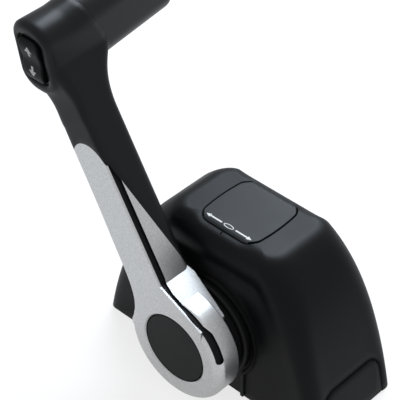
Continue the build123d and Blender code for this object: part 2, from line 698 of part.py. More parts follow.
def driven_gear(side):
    """Shift gear (side 1) or throttle gear (side -1), in mesh at rest with the drive gear."""
    to_drive = atan2(SHAFT_Z - STUD_Z, -side * STUD_Y)
    tooth = 360 / DRIVEN_TEETH
    if side > 0:
        turn = degrees(to_drive) + tooth / 2
    else:
        # angle by which the drive gear's gap misses the line to this gear
        from_drive = degrees(atan2(STUD_Z - SHAFT_Z, -STUD_Y))
        miss = (from_drive - degrees(atan2(STUD_Z - SHAFT_Z, STUD_Y))) % (360 / DRIVE_TEETH)
        turn = degrees(to_drive) + tooth / 2 + miss * DRIVE_TEETH / DRIVEN_TEETH
    body = gear(DRIVEN_TEETH, side * STUD_Y, STUD_Z, turn, GEAR_STUD_R)
    holes = []
    for step in range(GEAR_HOLES):
        angle = radians(360 / GEAR_HOLES * step + 20)
        y = side * STUD_Y + GEAR_HOLE_CIRCLE * cos(angle)
        z = STUD_Z + GEAR_HOLE_CIRCLE * sin(angle)
        holes.append(disc(GEAR_X[0] - CUT, GEAR_X[1] + CUT, GEAR_HOLE_R, y, z))
    hub = disc(GEAR_X[1], GEAR_X[1] + GEAR_HUB, GEAR_STUD_R + GEAR_HUB_WALL, side * STUD_Y, STUD_Z)
    hub -= disc(*THROUGH, GEAR_STUD_R + SEAT_CLEARANCE, side * STUD_Y, STUD_Z)
    return body - Compound(holes) + hub


# ---- output arms ----

def arm_tip(side):
    """Cable pin centre: the arms hang straight down when the lever is upright."""
    turn = radians(ARM_REST_TURN)
    return side * STUD_Y + ARM_LENGTH * sin(turn), STUD_Z - ARM_LENGTH * cos(turn)


def gear_shaft(side):
    rod = disc(FRAME_PORT_FACE - 2.5, ARM_X[1] + 3.0, GEAR_STUD_R, side * STUD_Y, STUD_Z)
    return chamfer(rod.edges().filter_by(GeomType.CIRCLE), 0.6)


def gear_shaft_rings(side):
    """Collars that keep a gear shaft in its frame plates."""
    y = side * STUD_Y
    port = disc(FRAME_PORT_FACE - 1.5, FRAME_PORT_FACE - END_PLAY, GEAR_STUD_R + 2, y, STUD_Z)
    starboard = disc(ARM_X[1], ARM_X[1] + 2, GEAR_STUD_R + GEAR_HUB_WALL, y, STUD_Z)
    bore = disc(*THROUGH, GEAR_STUD_R + SEAT_CLEARANCE, y, STUD_Z)
    return Compound([port - bore, starboard - bore])


def output_arm(side):
    tip_y, tip_z = arm_tip(side)
    y, z = side * STUD_Y, STUD_Z
    outline = make_hull((Pos(y, z) * Circle(ARM_ROOT_R)).edges()
                        + (Pos(tip_y, tip_z) * Circle(ARM_TIP_R)).edges())
    arm = side_prism(outline, ARM_X[0], ARM_X[1])
    middle = ((y + tip_y) / 2, (z + tip_z) / 2)
    slot = Pos(*middle) * Rot(0, 0, 90 + ARM_REST_TURN) * SlotOverall(*ARM_SLOT)
    arm -= side_prism(slot, ARM_X[0] - CUT, ARM_X[1] + CUT)
    arm += disc(FRAME_STARBOARD_FACE + 2 * END_PLAY, ARM_X[0], GEAR_STUD_R + GEAR_HUB_WALL, y, z)
    arm -= disc(*THROUGH, GEAR_STUD_R + SEAT_CLEARANCE, y, z)
    return arm - disc(*THROUGH, CABLE_PIN_R + SEAT_CLEARANCE, tip_y, tip_z)


def cable_pin(side):
    tip_y, tip_z = arm_tip(side)
    pin = disc(ARM_X[0], ARM_X[1] + CABLE_PIN_LENGTH, CABLE_PIN_R, tip_y, tip_z)
    hole_x = ARM_X[1] + CABLE_PIN_LENGTH - SPLIT_PIN_END
    return pin - Pos(hole_x, tip_y, tip_z) * Cylinder(SPLIT_PIN_R, 4 * CABLE_PIN_R)


# ---- cable clamps ----

def cable_clamp(side):
    """Split block that grips a cable's jacket, screwed to the starboard frame plate."""
    y = side * CLAMP_SPACING
    body = block(CLAMP_X[0], CLAMP_X[1], y - CLAMP_HALF_LENGTH, y + CLAMP_HALF_LENGTH, *CLAMP_Z)
    body = fillet(body.edges().filter_by(Axis.Z).sort_by(Axis.X)[-2:], CLAMP_ROUND)
    body -= post(CLAMP_Z[0] - CUT, CLAMP_Z[1] + CUT, CLAMP_BORE_R, CLAMP_BORE_X, y)
    screw_hole = Rot(90, 0, 0) * Cylinder(CLAMP_SCREW_R + SEAT_CLEARANCE, 4 * CLAMP_HALF_LENGTH)
    body -= Pos(CLAMP_SCREW_X, y, CLAMP_SCREW_Z) * screw_hole
    half_split = CLAMP_SPLIT / 2
    return body - block(CLAMP_BORE_X, CLAMP_X[1] + CUT, y - half_split, y + half_split, 0, CLAMP_Z[1] + CUT)


def clamp_screws():
    """One pinch screw across each clamp's split."""
    screws = []
    for side in (-1, 1):
        outer = side * (CLAMP_SPACING + CLAMP_HALF_LENGTH)
        inner = side * (CLAMP_SPACING - CLAMP_HALF_LENGTH)
        shank = Pos(CLAMP_SCREW_X, (outer + inner) / 2, CLAMP_SCREW_Z) * Rot(90, 0, 0) * Cylinder(
            CLAMP_SCREW_R, 2 * CLAMP_HALF_LENGTH)
        head_y = inner - side * CLAMP_SCREW_HEAD / 2
        head = Pos(CLAMP_SCREW_X, head_y, CLAMP_SCREW_Z) * Rot(90, 0, 0) * Cylinder(
            CLAMP_SCREW_R + 1.0, CLAMP_SCREW_HEAD)
        screws.append(shank + head)
    return Compound(screws)


# ---- detent, friction and switch ----

def detent_wheel():
    """Wheel with notches for ahead, neutral and astern."""
    wheel = disc(WHEEL_X[0], WHEEL_X[1], WHEEL_R)
    reach = WHEEL_R + BALL_R - NOTCH_DEPTH
    for turn in (0, LEAN, 2 * LEAN):
        angle = radians(-90 + turn)
        wheel -= disc(*THROUGH, BALL_R, reach * cos(angle), SHAFT_Z + reach * sin(angle))
    return wheel - disc(*THROUGH, SHAFT_R + SEAT_CLEARANCE)


def detent_tube():
    top = SHAFT_Z - WHEEL_R - BALL_R - 0.8
    tube = post(DECK_Z, top, DETENT_TUBE_R, WHEEL_CENTRE_X, 0)
    bore = post(DECK_Z + DETENT_TUBE_FLOOR, top + CUT, BALL_R + BALL_CLEARANCE, WHEEL_CENTRE_X, 0)
    return tube - bore


def detent_ball():
    return Pos(WHEEL_CENTRE_X, 0, SHAFT_Z - WHEEL_R - BALL_R - PART_GAP) * Sphere(BALL_R)


def detent_spring():
    """Coil spring under the ball."""
    bottom = DECK_Z + DETENT_TUBE_FLOOR + 0.5
    top = SHAFT_Z - WHEEL_R - 2 * BALL_R - PART_GAP - 0.4
    path = Helix(pitch=2.0, height=top - bottom, radius=BALL_R + BALL_CLEARANCE - DETENT_WIRE_R - 0.4)
    wire = sweep(Plane(path @ 0, z_dir=path % 0) * Circle(DETENT_WIRE_R), path=path)
    return Pos(WHEEL_CENTRE_X, 0, bottom) * wire


def friction_shoe():
    rim_z = SHAFT_Z + WHEEL_R
    pad = block(*WHEEL_X, -SHOE_HALF_LENGTH, SHOE_HALF_LENGTH, rim_z - SHOE_WRAP, rim_z + SHOE_HEIGHT)
    return pad - disc(*THROUGH, WHEEL_R + SHOE_CLEARANCE)


def friction_screw():
    seat = BRIDGE_Z[1] + FRICTION_SCREW_RISE
    top = seat + FRICTION_HEAD
    screw = post(SHAFT_Z + WHEEL_R + SHOE_HEIGHT, seat, FRICTION_SCREW_R, WHEEL_CENTRE_X, 0)
    screw += post(seat, top, FRICTION_HEAD_R, WHEEL_CENTRE_X, 0)
    slot = Box(DRIVER_SLOT, 3 * FRICTION_HEAD_R, 2.5 * DRIVER_SLOT)
    return screw - Pos(WHEEL_CENTRE_X, 0, top) * slot


def neutral_switch():
    """Microswitch that only lets the engine start with the lever upright."""
    cam_z = SHAFT_Z + CAM_R
    body = block(CAM_X[0] - CAM_FLAT, FRAME_PORT_FACE, -SWITCH_HALF_LENGTH, SWITCH_HALF_LENGTH,
                 cam_z + PLUNGER_REACH, cam_z + PLUNGER_REACH + SWITCH_HEIGHT)
    body = fillet(body.edges().filter_by(Axis.X), 1.0)
    middle_x = (CAM_X[0] + CAM_X[1]) / 2
    return body + post(cam_z + PART_GAP, cam_z + PLUNGER_REACH + CUT, PLUNGER_R, middle_x, 0)


# ---- lever ----

def lever_outline(inset):
    """Side view, upright: hub disc, aft facet and slim arm. inset draws the aft side in."""
    aft = ARM_AFT + inset
    edges = [
        Line((aft, ARM_TOP), (aft, 43)),
        Line((aft, 43), (-34.2 + inset, 12.5)),
        Line((-34.2 + inset, 12.5), (-20, -12)),
        Line((-20, -12), (20, -8)),
        Line((20, -8), (31.4, 20.4)),
        Spline((31.4, 20.4), (20.5, 34), (15.8, 66), (14.0, 102), (ARM_FORWARD_AT_TOP, ARM_TOP)),
        Line((ARM_FORWARD_AT_TOP, ARM_TOP), (aft, ARM_TOP)),
    ]
    return Pos(0, SHAFT_Z) * make_face(edges)


def arm_bar():
    bar = side_prism(lever_outline(0.0), LEVER_PORT_X, ARM_STARBOARD_X)
    long_edges = bar.edges().filter_by(lambda e: abs(e.center().X - LEVER_PORT_X) < 0.01
                                       or abs(e.center().X - ARM_STARBOARD_X) < 0.01)
    forward = long_edges.filter_by(lambda e: e.center().Y > 10 and e.center().Z > SHAFT_Z + 20)
    bar = fillet(forward, ARM_ROUND)
    for x, radius in ((ARM_STARBOARD_X, ARM_ROUND), (LEVER_PORT_X, ARM_EDGE)):
        aft = bar.edges().filter_by(lambda e: abs(e.center().Y - ARM_AFT) < 0.01)
        bar = fillet(aft.filter_by(lambda e: abs(e.center().X - x) < 0.01), radius)
    return bar


def lever_blank():
    """Hub and arm together, before they are split into casting and moulding."""
    hub = disc(LEVER_PORT_X, HUB_STARBOARD_X, HUB_R)
    hub = fillet(hub.edges().sort_by(Axis.X)[0], HUB_ROUND)
    hub = chamfer(hub.edges().sort_by(Axis.X)[-1], HUB_CHAMFER)
    blank = arm_bar() + hub
    flare = Polyline((HUB_STARBOARD_X, -60), (HUB_STARBOARD_X, 2), (ARM_STARBOARD_X, WEDGE_FOOT),
                     (ARM_STARBOARD_X + 10, WEDGE_FOOT), (ARM_STARBOARD_X + 10, -60), close=True)
    blank -= cross_prism(make_face(flare))
    return blank - disc(HUB_STARBOARD_X, 0, BOSS_NOSE_R + HUB_CLEARANCE)


def cross_prism(face):
    """Extrude a face drawn in (X, height above shaft) right across, fore and aft."""
    return extrude(Plane.XZ.offset(-100) * (Pos(0, SHAFT_Z) * face), 200)


def casting_region():
    """Space that belongs to the metal casting: outer blade plus the wedge behind it."""
    out = LEVER_PORT_X - 5
    low, inboard = -60, -20
    wedge = Polyline((out, low), (inboard, low), (inboard, WEDGE_FOOT), (ARM_STARBOARD_X, WEDGE_FOOT),
                     (SPLIT_X, WEDGE_TOP), (out, WEDGE_TOP), close=True)
    leaf_x, high = LEVER_PORT_X + GROOVE_PORT, BLADE_TIP + 10
    leaf = Polyline((out, low), (SPLIT_X, low), (SPLIT_X, WEDGE_TOP), (leaf_x, GROOVE_TOP),
                    (leaf_x, high), (out, high), close=True)
    tip = [
        Line((30, 60), (30, 126)),
        Spline((30, 126), (14, 133.5), (2.4, BLADE_TIP), (-5, 137.8), (-12.7, 127.8), (-15, WEDGE_TOP)),
        Line((-15, WEDGE_TOP), (-30, 60)),
        Line((-30, 60), (30, 60)),
    ]
    blade = side_prism(Pos(0, SHAFT_Z) * make_face(tip), out, SPLIT_X) & cross_prism(make_face(leaf))
    return cross_prism(make_face(wedge)) + blade


def groove_prism():
    """Run of the dark groove down the lever's aft side, in the (X, height) view."""
    port = LEVER_PORT_X + GROOVE_PORT
    wide = LEVER_PORT_X + GROOVE_WIDE
    narrow = LEVER_PORT_X + GROOVE_NARROW
    edges = [
        Line((port, GROOVE_TOP), (port, -8)),
        ThreePointArc((port, -8), ((port + wide) / 2, -10.8), (wide, -8)),
        Line((wide, -8), (wide, 9)),
        Line((wide, 9), (narrow, 15)),
        Line((narrow, 15), (narrow, 37)),
        Line((narrow, 37), (wide, 46)),
        Line((wide, 46), (wide, WEDGE_TOP)),
        Line((wide, WEDGE_TOP), (port, GROOVE_TOP)),
    ]
    prism = cross_prism(make_face(edges))
    return prism - block(*THROUGH, 0, 200, -100, 300)


def outline_with_hub(inset):
    return lever_outline(inset) + Pos(0, SHAFT_Z) * Circle(HUB_R - inset)


def groove_band(outer_inset, inner_inset):
    outer = side_prism(outline_with_hub(outer_inset), LEVER_PORT_X - CUT, ARM_STARBOARD_X)
    inner = side_prism(outline_with_hub(inner_inset), LEVER_PORT_X - 2 * CUT, ARM_STARBOARD_X + CUT)
    return (outer - inner) & groove_prism()


def lever_screw(height, grow):
    """Cap screw from the arm's starboard face, or with grow its hole, open to that face."""
    seat_x = ARM_STARBOARD_X - LEVER_SCREW_SINK
    head_x = seat_x - LEVER_SCREW_HEAD
    z = SHAFT_Z + height
    if grow:
        seat_x += 5 * CUT
    head = disc(head_x, seat_x, LEVER_SCREW_HEAD_R + grow, 0, z)
    return head + disc(LEVER_PORT_X + 3, head_x, LEVER_SCREW_R + grow, 0, z)


def lever_screws():
    screws = []
    for height in LEVER_SCREWS:
        socket = hexagon_along_x(ARM_STARBOARD_X - 3, ARM_STARBOARD_X, LEVER_SCREW_KEY, 0, SHAFT_Z + height)
        screws.append(leaned(lever_screw(height, 0.0) - socket))
    return Compound(screws)


def lever_casting():
    casting = lever_blank() & casting_region()
    casting -= groove_band(-3.0, GROOVE_DEPTH)
    casting -= disc(LEVER_PORT_X - CUT, WEB_PORT_X, CAP_HOLE_R)
    rim = Rot(0, 90, 0) * Cone(CAP_HOLE_R + CAP_RIM, CAP_HOLE_R, CAP_RIM)
    casting -= Pos(LEVER_PORT_X + CAP_RIM / 2, 0, SHAFT_Z) * rim
    flats = DRIVE_FLAT + SEAT_CLEARANCE
    r = SHAFT_R + SEAT_CLEARANCE
    casting -= disc(*THROUGH, r) & block(*THROUGH, -flats, flats, SHAFT_Z - r, SHAFT_Z + r)
    for height in LEVER_SCREWS:
        casting -= lever_screw(height, SEAT_CLEARANCE)
    return leaned(casting)


def groove_inlay():
    inlay = groove_band(INLAY_SETBACK, GROOVE_DEPTH) & casting_region()
    return leaned(inlay)


# ---- head and grip ----

def bar_outline(inset):
    width, height = 2 * (GRIP_HALF_DEPTH - inset), 2 * (GRIP_HALF_HEIGHT - inset)
    return RectangleRounded(width, height, GRIP_CORNER - inset)


def bar_section(start, length, inset):
    return extrude(BAR.offset(start) * bar_outline(inset), length)


def pocket_prism(start, length, inset):
    width, height, corner = POCKET
    outline = RectangleRounded(width - 2 * inset, height - 2 * inset, max(corner - inset, 1.0))
    return extrude(BAR.offset(start) * outline, length)


def beyond_seam():
    """Space inboard of the slanting seam between head and grip."""
    tilt = radians(SEAM_TILT)
    normal = BAR.z_dir * cos(tilt) + BAR.y_dir * sin(tilt)
    seam = Plane(origin=BAR.offset(SEAM_AT).origin, x_dir=BAR.x_dir, z_dir=normal)
    return seam.location * Pos(0, 0, 100) * Box(200, 200, 200)


def neck():
    """Flare that carries the arm into the head and under the grip."""
    sections = []
    port_aft = Axis((0, 0, 0), (1, 1, 0))
    for height, port, starboard, aft, forward, corner, edge in NECK_SECTIONS:
        x0, x1 = LEVER_PORT_X - port, ARM_STARBOARD_X + starboard
        outline = Pos((x0 + x1) / 2, (aft + forward) / 2) * Rectangle(x1 - x0, forward - aft)
        outline = fillet(outline.vertices().sort_by(port_aft)[1:], corner)
        outline = fillet(outline.vertices().sort_by(port_aft)[0], edge)
        sections.append(Pos(0, 0, SHAFT_Z + height) * outline)
    return leaned(loft(sections))


def head_block():
    """T-head, out to the slanting seam: a taller port end that runs into the grip's section."""
    end = BAR * RectangleRounded(2 * GRIP_HALF_DEPTH, 2 * HEAD_HALF_HEIGHT, HEAD_CORNER)
    head = loft([end, BAR.offset(HEAD_BLEND) * bar_outline(0.0)])
    head = fillet(head.edges().group_by(Axis(BAR.origin, BAR.z_dir))[0], HEAD_EDGE)
    return head + bar_section(HEAD_BLEND, GRIP_LENGTH - HEAD_BLEND, 0.0) - beyond_seam()


def grip_core():
    return bar_section(CORE_START, GRIP_LENGTH - CORE_END - CORE_START, CORE_WALL)


def handle_moulding():
    """Black arm, T-head and the core that carries the grip."""
    body = head_block() + neck() + leaned(arm_bar() - casting_region()) + grip_core()
    body -= pocket_prism(-CUT, POCKET_DEPTH + CUT, 0.0)
    for height in LEVER_SCREWS:
        body -= leaned(lever_screw(height, SEAT_CLEARANCE))
    return body


def hand_grip():
    sleeve = bar_section(0.0, GRIP_LENGTH, 0.0)
    sleeve = fillet(sleeve.edges().group_by(Axis(BAR.origin, BAR.z_dir))[-1], GRIP_END_ROUND)
    return (sleeve & beyond_seam()) - grip_core() - neck()


# ---- trim switch ----

def switch_bezel():
    bezel = pocket_prism(BEZEL_DEPTH[0], BEZEL_DEPTH[1] - BEZEL_DEPTH[0], 0.0)
    bezel -= pocket_prism(BEZEL_DEPTH[0] - 1, 20, BEZEL_WALL)
    return bezel - rocker_pivot(PIVOT_R + SEAT_CLEARANCE, POCKET[0] / 2 - 0.4)


def rocker_pivot(r, half_length):
    pin = Cylinder(r, 2 * half_length)
    return BAR.offset(PIVOT_DEPTH).location * Rot(0, 90, 0) * pin


def rocker_pin():
    return rocker_pivot(PIVOT_R, POCKET[0] / 2 - 0.5)


def trim_rocker():
    """Rocker with a crest toward each end and a hollow between them."""
    half, crest = ROCKER_LENGTH / 2, 0.31 * ROCKER_LENGTH
    edges = [
        Line((-half, ROCKER_FOOT), (-half, ROCKER_END)),
        Spline((-half, ROCKER_END), (-crest, ROCKER_CREST), (0, ROCKER_HOLLOW), (crest, ROCKER_CREST),
               (half, ROCKER_END)),
        Line((half, ROCKER_END), (half, ROCKER_FOOT)),
        Line((half, ROCKER_FOOT), (3.2, ROCKER_KEEL)),
        Line((3.2, ROCKER_KEEL), (-3.2, ROCKER_KEEL)),
        Line((-3.2, ROCKER_KEEL), (-half, ROCKER_FOOT)),
    ]
    side = Plane(origin=BAR.origin, x_dir=BAR.y_dir, z_dir=BAR.x_dir)
    body = extrude(side.offset(-ROCKER_WIDTH / 2) * make_face(edges), ROCKER_WIDTH)
    body &= pocket_prism(-5, 20, (POCKET[0] - ROCKER_WIDTH) / 2)
    face = body.faces().sort_by(Axis(BAR.origin, BAR.z_dir))[0]
    body = fillet(face.edges(), ROCKER_EDGE)
    return body - rocker_pivot(PIVOT_R + RUNNING_CLEARANCE, POCKET[0])


def switch_body():
    return pocket_prism(BEZEL_DEPTH[1] + 0.6, POCKET_DEPTH - BEZEL_DEPTH[1] - 0.8, 0.6)


# ---- hub button ----

def hub_button():
    """Push-to-disengage cap in the middle of the hub."""
    x0 = LEVER_PORT_X + BUTTON_FACE
    r = CAP_HOLE_R - CAP_GAP
    cap = disc(x0, x0 + BUTTON_THICKNESS, r)
    cap = fillet(cap.edges().sort_by(Axis.X)[0], 0.8)
    skirt = disc(x0 + BUTTON_THICKNESS, x0 + 2 * BUTTON_THICKNESS, r) - disc(*THROUGH, r - BUTTON_SKIRT)
    return cap + skirt


def push_rod():
    """Rod down the hollow shaft, from the button to the clutch."""
    x0 = LEVER_PORT_X + BUTTON_FACE + BUTTON_THICKNESS
    return disc(x0, SHAFT_STARBOARD_X - BUTTON_TRAVEL - 1, SHAFT_BORE_R - ROD_CLEARANCE)


def button_spring():
    """Coil round the nut that brings the button back, drawn at its pressed length."""
    start = WEB_PORT_X - BUTTON_WIRE_R
    end = LEVER_PORT_X + BUTTON_FACE + BUTTON_THICKNESS + BUTTON_TRAVEL + BUTTON_WIRE_R
    path = Helix(pitch=2.6, height=start - end, radius=BUTTON_SPRING_R)
    wire = sweep(Plane(path @ 0, z_dir=path % 0) * Circle(BUTTON_WIRE_R), path=path)
    return Pos(start, 0, SHAFT_Z) * Rot(0, -90, 0) * wire


NODES = {
    "main_cover": main_cover, "top_plate": top_plate,
    "aft_screw_cover": lambda: screw_cover(True), "forward_screw_cover": lambda: screw_cover(False),
    "cover_screws": cover_screws,
    "base_plate": base_plate, "base_gasket": base_gasket,
    "port_boss": port_boss, "port_bush": port_bush, "hub_seal": hub_seal,
    "port_frame": port_frame, "starboard_frame": starboard_frame, "starboard_bush": starboard_bush,
    "frame_spacers": frame_spacers, "frame_screws": frame_screws,
    "friction_bridge": friction_bridge, "friction_screw": friction_screw, "friction_shoe": friction_shoe,
    "detent_tube": detent_tube, "detent_spring": detent_spring, "detent_ball": detent_ball,
    "neutral_switch": neutral_switch,
    "shift_cable_clamp": lambda: cable_clamp(1), "throttle_cable_clamp": lambda: cable_clamp(-1),
    "clamp_screws": clamp_screws,
    "main_shaft": main_shaft, "shaft_clip": shaft_clip, "shaft_nut": shaft_nut,
    "shaft_washer": shaft_washer, "drive_gear": drive_gear, "detent_wheel": detent_wheel,
    "shift_gear": lambda: driven_gear(1), "shift_shaft": lambda: gear_shaft(1),
    "shift_shaft_rings": lambda: gear_shaft_rings(1), "shift_arm": lambda: output_arm(1),
    "shift_cable_pin": lambda: cable_pin(1),
    "throttle_gear": lambda: driven_gear(-1), "throttle_shaft": lambda: gear_shaft(-1),
    "throttle_shaft_rings": lambda: gear_shaft_rings(-1), "throttle_arm": lambda: output_arm(-1),
    "throttle_cable_pin": lambda: cable_pin(-1),
    "lever_casting": lever_casting, "groove_inlay": groove_inlay, "lever_screws": lever_screws,
    "handle_moulding": handle_moulding, "hand_grip": hand_grip,
    "switch_bezel": switch_bezel, "switch_body": switch_body, "rocker_pin": rocker_pin,
    "trim_rocker": trim_rocker,
    "hub_button": hub_button, "push_rod": push_rod, "button_spring": button_spring,
}

for name, build in NODES.items():
    export_step(build(), f"parts/{name}.step")
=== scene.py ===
from math import cos, radians, sin, sqrt
import bpy
from mathutils import Matrix, Vector


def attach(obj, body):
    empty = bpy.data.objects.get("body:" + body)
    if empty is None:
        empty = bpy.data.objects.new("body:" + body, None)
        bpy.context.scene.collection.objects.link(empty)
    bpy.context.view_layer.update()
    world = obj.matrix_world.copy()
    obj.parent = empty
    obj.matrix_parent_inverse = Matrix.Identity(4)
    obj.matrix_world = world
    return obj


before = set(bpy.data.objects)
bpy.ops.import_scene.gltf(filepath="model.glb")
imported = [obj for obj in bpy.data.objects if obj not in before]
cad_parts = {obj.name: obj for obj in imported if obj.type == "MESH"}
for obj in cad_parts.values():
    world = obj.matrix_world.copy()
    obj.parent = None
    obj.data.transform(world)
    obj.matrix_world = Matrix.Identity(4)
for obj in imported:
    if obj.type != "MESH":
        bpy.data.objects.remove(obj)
bpy.ops.object.select_all(action="DESELECT")
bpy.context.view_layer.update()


# ---- Console top, lights and camera ----
# The control stands on a plain white sweep under one large cool light from above and behind, in a
# dim even surround that leaves the sides dark. The sweep looks white but throws little light back.

MM = 0.001
FLOOR_SIZE, FLOOR_DROP = 8.0, 0.1 * MM
FLOOR_GREY, SEEN_GLOW, MIRRORED_GLOW = 0.3, 0.74, 0.40


def floor_material():
    made = bpy.data.materials.new("pale_floor")
    made.use_nodes = True
    shader = made.node_tree.nodes["Principled BSDF"]
    shader.inputs["Base Color"].default_value = (FLOOR_GREY, FLOOR_GREY, FLOOR_GREY, 1)
    shader.inputs["Roughness"].default_value = 0.9
    shader.inputs["Specular IOR Level"].default_value = 0.0
    shader.inputs["Emission Color"].default_value = (1, 1, 1, 1)
    seen = made.node_tree.nodes.new("ShaderNodeLightPath")
    mirrored = made.node_tree.nodes.new("ShaderNodeMath")
    mirrored.operation = "MULTIPLY"
    mirrored.inputs[1].default_value = MIRRORED_GLOW
    made.node_tree.links.new(seen.outputs["Is Glossy Ray"], mirrored.inputs[0])
    glow = made.node_tree.nodes.new("ShaderNodeMath")
    glow.operation = "MULTIPLY_ADD"
    glow.inputs[1].default_value = SEEN_GLOW
    made.node_tree.links.new(seen.outputs["Is Camera Ray"], glow.inputs[0])
    made.node_tree.links.new(mirrored.outputs[0], glow.inputs[2])
    made.node_tree.links.new(glow.outputs[0], shader.inputs["Emission Strength"])
    return made


bpy.ops.mesh.primitive_plane_add(size=FLOOR_SIZE, location=(0, 0, -FLOOR_DROP))
floor = bpy.context.object
floor.name = "floor"
floor.data.materials.append(floor_material())


def softbox(name, place, target, width, height, watts, colour=(1, 1, 1)):
    bpy.ops.object.light_add(type="AREA", location=place)
    lamp = bpy.context.object
    lamp.name = name
    lamp.data.shape = "RECTANGLE"
    lamp.data.size, lamp.data.size_y = width, height
    lamp.data.energy = watts
    lamp.data.color = colour
    lamp.rotation_mode = "QUATERNION"
    lamp.rotation_quaternion = (Vector(target) - Vector(place)).to_track_quat("-Z", "Y")


softbox("overhead_softbox", (0.75, 0.33, 1.05), (0, 0, 0.08), 0.75, 0.9, 17.5, (0.80, 0.90, 1.0))

SURROUND_COLOUR, SURROUND_STRENGTH = (0.98, 0.99, 1.0), 0.54
world = bpy.data.worlds.new("studio")
world.use_nodes = True
surround = world.node_tree.nodes["Background"]
surround.inputs["Color"].default_value = (*SURROUND_COLOUR, 1)
surround.inputs["Strength"].default_value = SURROUND_STRENGTH
bpy.context.scene.world = world
bpy.context.scene.view_settings.view_transform = "Standard"

CAMERA_PLACE = (-0.5532, -0.4798, 0.7395)
CAMERA_AZIMUTH, CAMERA_ELEVATION = radians(-46.7), radians(40.2)
CAMERA_LENS = 143.96
bpy.ops.object.camera_add(location=CAMERA_PLACE)
camera = bpy.context.object
camera.data.lens = CAMERA_LENS
camera.data.sensor_width = 36.0
camera.data.clip_start, camera.data.clip_end = 0.01, 20
camera.rotation_mode = "QUATERNION"
toward_camera = Vector((sin(CAMERA_AZIMUTH) * cos(CAMERA_ELEVATION),
                        -cos(CAMERA_AZIMUTH) * cos(CAMERA_ELEVATION), sin(CAMERA_ELEVATION)))
camera.rotation_quaternion = (-toward_camera).to_track_quat("-Z", "Y")
bpy.context.scene.camera = camera


# ---- Housing cover and its two screw covers ----
# Injection-moulded in satin charcoal-black plastic with a barely visible grain. The end covers snap
# into the skirt from outside, in the same plastic, and hide the screws that hold the housing down.

GRAIN_DETAIL, MOTTLE_DETAIL = 2.0, 4.0
FLAT_LIKENESS, EDGE_LIKENESS = 0.995, 0.80


def float_group(name, inputs, outputs):
    """Empty shader node group whose sockets are all plain numbers."""
    group = bpy.data.node_groups.new(name, "ShaderNodeTree")
    for sockets, way in ((inputs, "INPUT"), (outputs, "OUTPUT")):
        for socket in sockets:
            group.interface.new_socket(socket, in_out=way, socket_type="NodeSocketFloat")
    return group


def grain_group():
    """Fine moulded grain and slow mottling, both in object space."""
    group = float_group("moulded_grain", ("Grain per mm", "Mottle per mm"), ("Height", "Mottle"))
    tree = group.nodes
    entry, leave = tree.new("NodeGroupInput"), tree.new("NodeGroupOutput")
    place = tree.new("ShaderNodeTexCoord")
    for socket, detail, output in (("Grain per mm", GRAIN_DETAIL, "Height"),
                                   ("Mottle per mm", MOTTLE_DETAIL, "Mottle")):
        per_metre = tree.new("ShaderNodeMath")
        per_metre.operation = "MULTIPLY"
        per_metre.inputs[1].default_value = 1 / MM
        noise = tree.new("ShaderNodeTexNoise")
        noise.inputs["Detail"].default_value = detail
        group.links.new(entry.outputs[socket], per_metre.inputs[0])
        group.links.new(per_metre.outputs[0], noise.inputs["Scale"])
        group.links.new(place.outputs["Object"], noise.inputs["Vector"])
        group.links.new(noise.outputs["Fac"], leave.inputs[output])
    return group


def wear_and_shading_group():
    """Mask that is white on edges, for wear and for painted edge highlights and shade."""
    group = float_group("edge_wear_and_shading", ("Radius",), ("Mask",))
    tree = group.nodes
    entry, leave = tree.new("NodeGroupInput"), tree.new("NodeGroupOutput")
    rounded = tree.new("ShaderNodeBevel")
    rounded.samples = 4
    surface = tree.new("ShaderNodeNewGeometry")
    likeness = tree.new("ShaderNodeVectorMath")
    likeness.operation = "DOT_PRODUCT"
    spread = tree.new("ShaderNodeMapRange")
    spread.inputs["From Min"].default_value = FLAT_LIKENESS
    spread.inputs["From Max"].default_value = EDGE_LIKENESS
    group.links.new(entry.outputs["Radius"], rounded.inputs["Radius"])
    group.links.new(rounded.outputs["Normal"], likeness.inputs[0])
    group.links.new(surface.outputs["Normal"], likeness.inputs[1])
    group.links.new(likeness.outputs["Value"], spread.inputs["Value"])
    group.links.new(spread.outputs["Result"], leave.inputs["Mask"])
    return group


GRAIN, WEAR_AND_SHADING = grain_group(), wear_and_shading_group()
BUMP_STRENGTH, BEVEL_SAMPLES, ROLL_DROP = 0.5, 8, 0.5
MOTTLE_LOW, MOTTLE_HIGH = 0.3, 0.7


